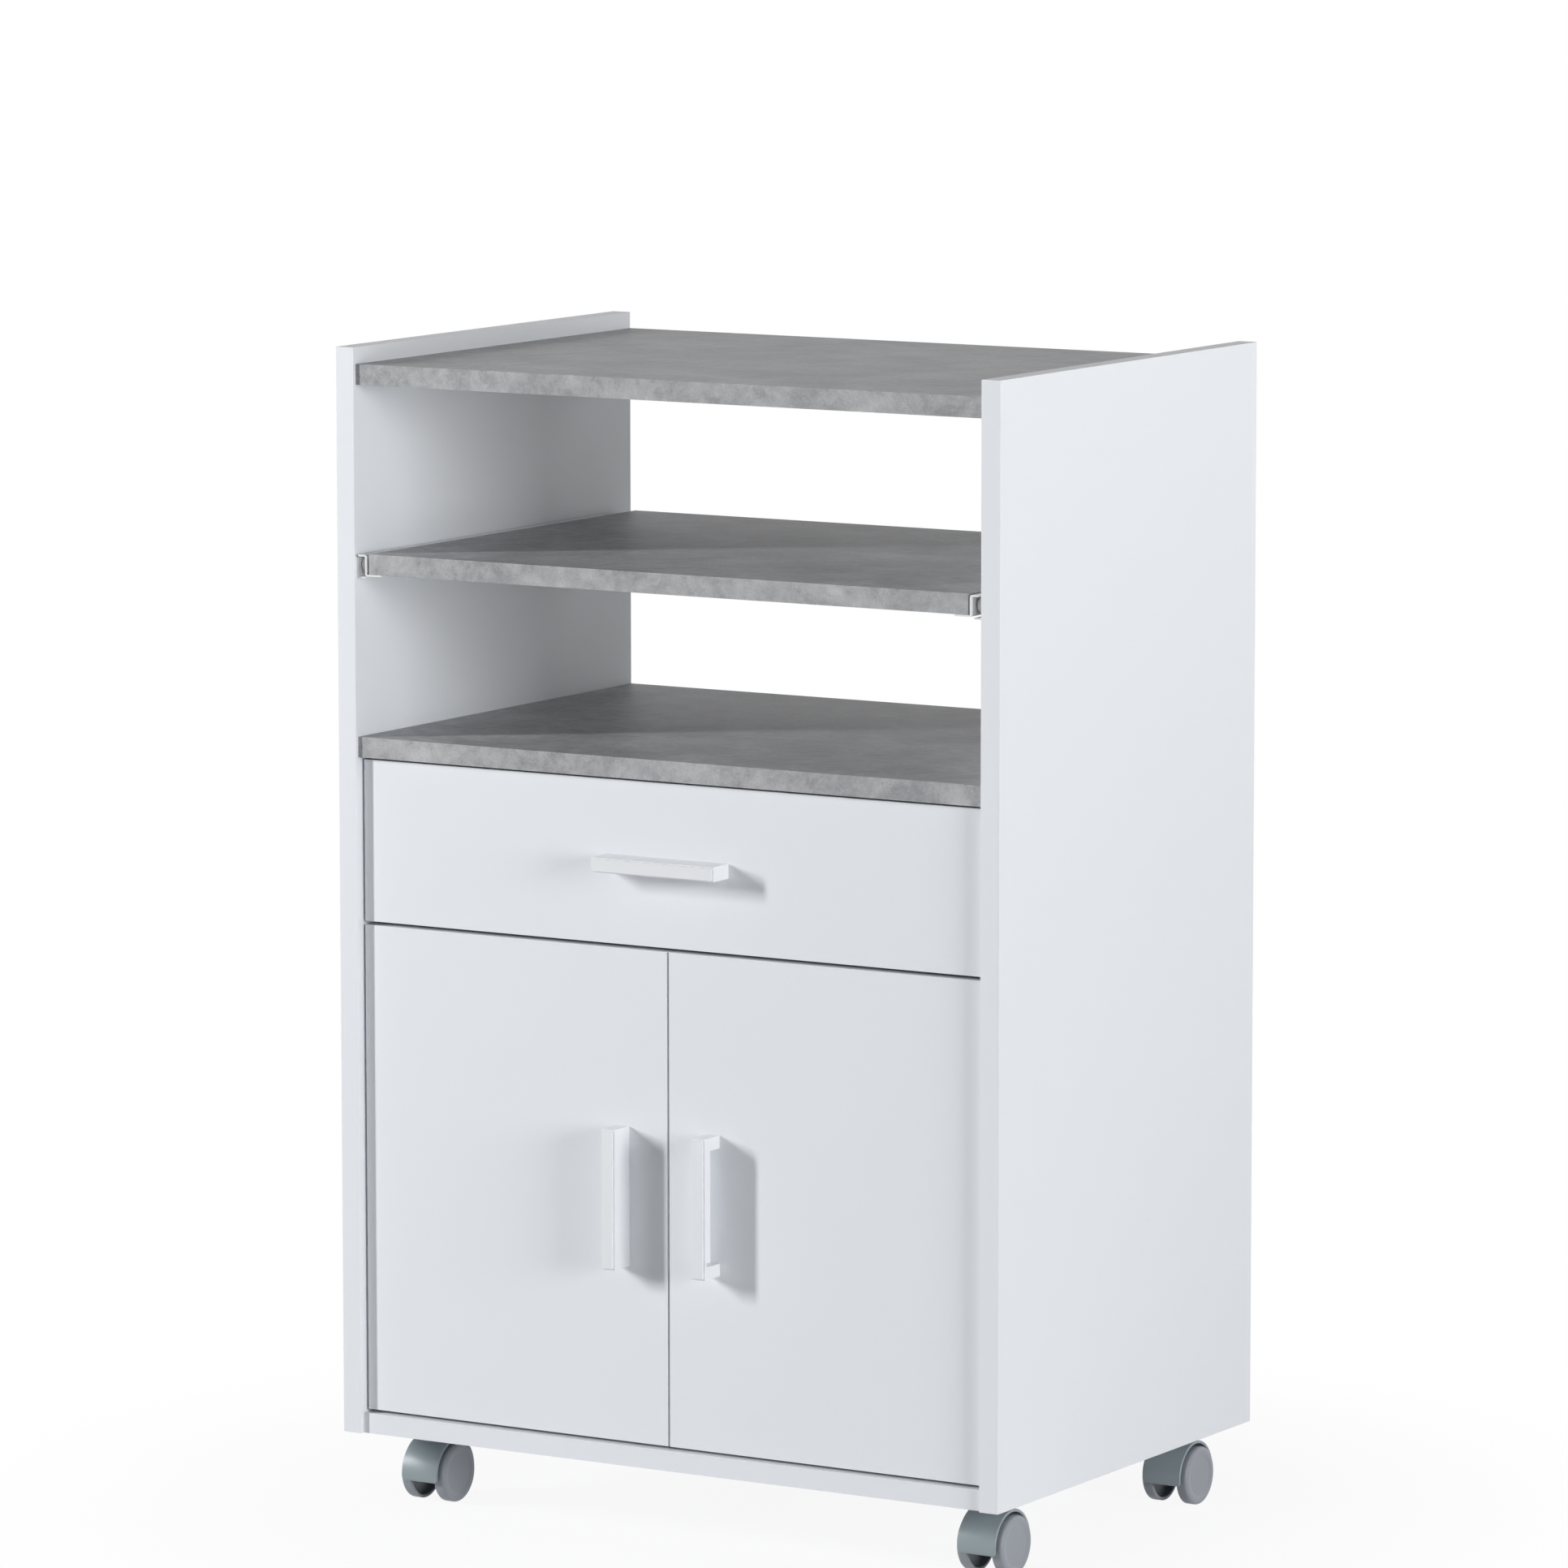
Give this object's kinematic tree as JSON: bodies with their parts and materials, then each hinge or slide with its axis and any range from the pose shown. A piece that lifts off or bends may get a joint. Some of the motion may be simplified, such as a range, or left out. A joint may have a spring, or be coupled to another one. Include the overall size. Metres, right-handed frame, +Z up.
{
  "type": "microwave cart",
  "caption": "Kitchen cart with an open top bay, a pull-out shelf, an open bay, a drawer and a cupboard, on twin-wheel swivel castors.",
  "frame": {"origin": "on the floor, under the middle of the whole object's box, handles included", "axes": "+Z up, front towards -Y, +X to the right when seen from the front"},
  "size_m": [0.59, 0.416, 0.914],
  "materials": {
    "white_board": "matt white coated board",
    "concrete_board": "matt concrete-look board",
    "hardboard": "smooth hardboard",
    "dowel_wood": "plain beech",
    "white_steel": "satin white paint",
    "roller_plastic": "satin",
    "handle_metal": "satin white paint",
    "steel": "zinc plated",
    "castor_plastic": "satin grey"
  },
  "bodies": {
    "carcass": {"left_side_panel": "white_board", "right_side_panel": "white_board", "top_board": "concrete_board", "fixed_shelf": "concrete_board", "bottom_panel": "white_board", "back_panel": "hardboard", "cam_locks": "steel", "cam_bolts": "steel", "dowels": "dowel_wood", "shelf_rails": "white_steel", "drawer_rails": "white_steel", "rail_screws": "steel", "hinge_plates": "steel", "hinge_arms": "steel", "hinge_plate_screws": "steel", "castor_plates": "steel", "castor_plate_screws": "steel"},
    "shelf_front_rollers": {"shelf_front_rollers": "roller_plastic"},
    "drawer_front_rollers": {"drawer_front_rollers": "roller_plastic"},
    "pull_out_shelf": {"pull_out_board": "concrete_board", "left_shelf_runner": "white_steel", "right_shelf_runner": "white_steel", "shelf_runner_screws": "steel"},
    "shelf_rear_rollers": {"shelf_rear_rollers": "roller_plastic"},
    "drawer": {"drawer_front": "white_board", "left_drawer_side": "white_board", "right_drawer_side": "white_board", "drawer_back": "white_board", "drawer_bottom": "hardboard", "left_drawer_runner": "white_steel", "right_drawer_runner": "white_steel", "drawer_runner_screws": "steel", "drawer_dowels": "dowel_wood", "drawer_handle": "handle_metal", "drawer_handle_screws": "steel"},
    "drawer_rear_rollers": {"drawer_rear_rollers": "roller_plastic"},
    "left_door": {"left_door": "white_board", "left_hinge_cups": "steel", "left_door_handle": "handle_metal", "left_door_handle_screws": "steel"},
    "right_door": {"right_door": "white_board", "right_hinge_cups": "steel", "right_door_handle": "handle_metal", "right_door_handle_screws": "steel"},
    "front_left_castor": {"front_left_castor_hood": "castor_plastic", "front_left_castor_axle": "steel"},
    "front_left_outer_wheel": {"front_left_outer_wheel": "castor_plastic"},
    "front_left_inner_wheel": {"front_left_inner_wheel": "castor_plastic"},
    "front_right_castor": {"front_right_castor_hood": "castor_plastic", "front_right_castor_axle": "steel"},
    "front_right_outer_wheel": {"front_right_outer_wheel": "castor_plastic"},
    "front_right_inner_wheel": {"front_right_inner_wheel": "castor_plastic"},
    "rear_left_castor": {"rear_left_castor_hood": "castor_plastic", "rear_left_castor_axle": "steel"},
    "rear_left_outer_wheel": {"rear_left_outer_wheel": "castor_plastic"},
    "rear_left_inner_wheel": {"rear_left_inner_wheel": "castor_plastic"},
    "rear_right_castor": {"rear_right_castor_hood": "castor_plastic", "rear_right_castor_axle": "steel"},
    "rear_right_outer_wheel": {"rear_right_outer_wheel": "castor_plastic"},
    "rear_right_inner_wheel": {"rear_right_inner_wheel": "castor_plastic"}
  },
  "joints": [
    {"name": "shelf_slide", "type": "slide", "parent": "carcass", "child": "pull_out_shelf", "axis": [0, -1, 0], "range_m": [0, 0.25]},
    {"name": "drawer_slide", "type": "slide", "parent": "carcass", "child": "drawer", "axis": [0, -1, 0], "range_m": [0, 0.25]},
    {"name": "left_door_hinge", "type": "hinge", "parent": "carcass", "child": "left_door", "pos_m": [-0.259, -0.1769, 0.27225], "axis": [0, 0, -1], "range_deg": [0, 95]},
    {"name": "right_door_hinge", "type": "hinge", "parent": "carcass", "child": "right_door", "pos_m": [0.259, -0.1769, 0.27225], "axis": [0, 0, 1], "range_deg": [0, 95]},
    {"name": "shelf_front_roller_spin", "type": "hinge", "parent": "carcass", "child": "shelf_front_rollers", "pos_m": [0, -0.179, 0.7456], "axis": [1, 0, 0], "continuous": true},
    {"name": "shelf_rear_roller_spin", "type": "hinge", "parent": "pull_out_shelf", "child": "shelf_rear_rollers", "pos_m": [0, 0.149, 0.7434], "axis": [1, 0, 0], "continuous": true},
    {"name": "drawer_front_roller_spin", "type": "hinge", "parent": "carcass", "child": "drawer_front_rollers", "pos_m": [0, -0.1555, 0.4891], "axis": [1, 0, 0], "continuous": true},
    {"name": "drawer_rear_roller_spin", "type": "hinge", "parent": "drawer", "child": "drawer_rear_rollers", "pos_m": [0, 0.1725, 0.4869], "axis": [1, 0, 0], "continuous": true},
    {"name": "front_left_swivel", "type": "hinge", "parent": "carcass", "child": "front_left_castor", "pos_m": [-0.2525, -0.1152, 0.045], "axis": [0, 0, 1], "continuous": true},
    {"name": "front_left_outer_wheel_spin", "type": "hinge", "parent": "front_left_castor", "child": "front_left_outer_wheel", "pos_m": [-0.2525, -0.1232, 0.023], "axis": [1, 0, 0], "continuous": true},
    {"name": "front_left_inner_wheel_spin", "type": "hinge", "parent": "front_left_castor", "child": "front_left_inner_wheel", "pos_m": [-0.2525, -0.1232, 0.023], "axis": [1, 0, 0], "continuous": true},
    {"name": "front_right_swivel", "type": "hinge", "parent": "carcass", "child": "front_right_castor", "pos_m": [0.2525, -0.1152, 0.045], "axis": [0, 0, 1], "continuous": true},
    {"name": "front_right_outer_wheel_spin", "type": "hinge", "parent": "front_right_castor", "child": "front_right_outer_wheel", "pos_m": [0.2525, -0.1232, 0.023], "axis": [1, 0, 0], "continuous": true},
    {"name": "front_right_inner_wheel_spin", "type": "hinge", "parent": "front_right_castor", "child": "front_right_inner_wheel", "pos_m": [0.2525, -0.1232, 0.023], "axis": [1, 0, 0], "continuous": true},
    {"name": "rear_left_swivel", "type": "hinge", "parent": "carcass", "child": "rear_left_castor", "pos_m": [-0.2525, 0.1758, 0.045], "axis": [0, 0, 1], "continuous": true},
    {"name": "rear_left_outer_wheel_spin", "type": "hinge", "parent": "rear_left_castor", "child": "rear_left_outer_wheel", "pos_m": [-0.2525, 0.1678, 0.023], "axis": [1, 0, 0], "continuous": true},
    {"name": "rear_left_inner_wheel_spin", "type": "hinge", "parent": "rear_left_castor", "child": "rear_left_inner_wheel", "pos_m": [-0.2525, 0.1678, 0.023], "axis": [1, 0, 0], "continuous": true},
    {"name": "rear_right_swivel", "type": "hinge", "parent": "carcass", "child": "rear_right_castor", "pos_m": [0.2525, 0.1758, 0.045], "axis": [0, 0, 1], "continuous": true},
    {"name": "rear_right_outer_wheel_spin", "type": "hinge", "parent": "rear_right_castor", "child": "rear_right_outer_wheel", "pos_m": [0.2525, 0.1678, 0.023], "axis": [1, 0, 0], "continuous": true},
    {"name": "rear_right_inner_wheel_spin", "type": "hinge", "parent": "rear_right_castor", "child": "rear_right_inner_wheel", "pos_m": [0.2525, 0.1678, 0.023], "axis": [1, 0, 0], "continuous": true}
  ]
}
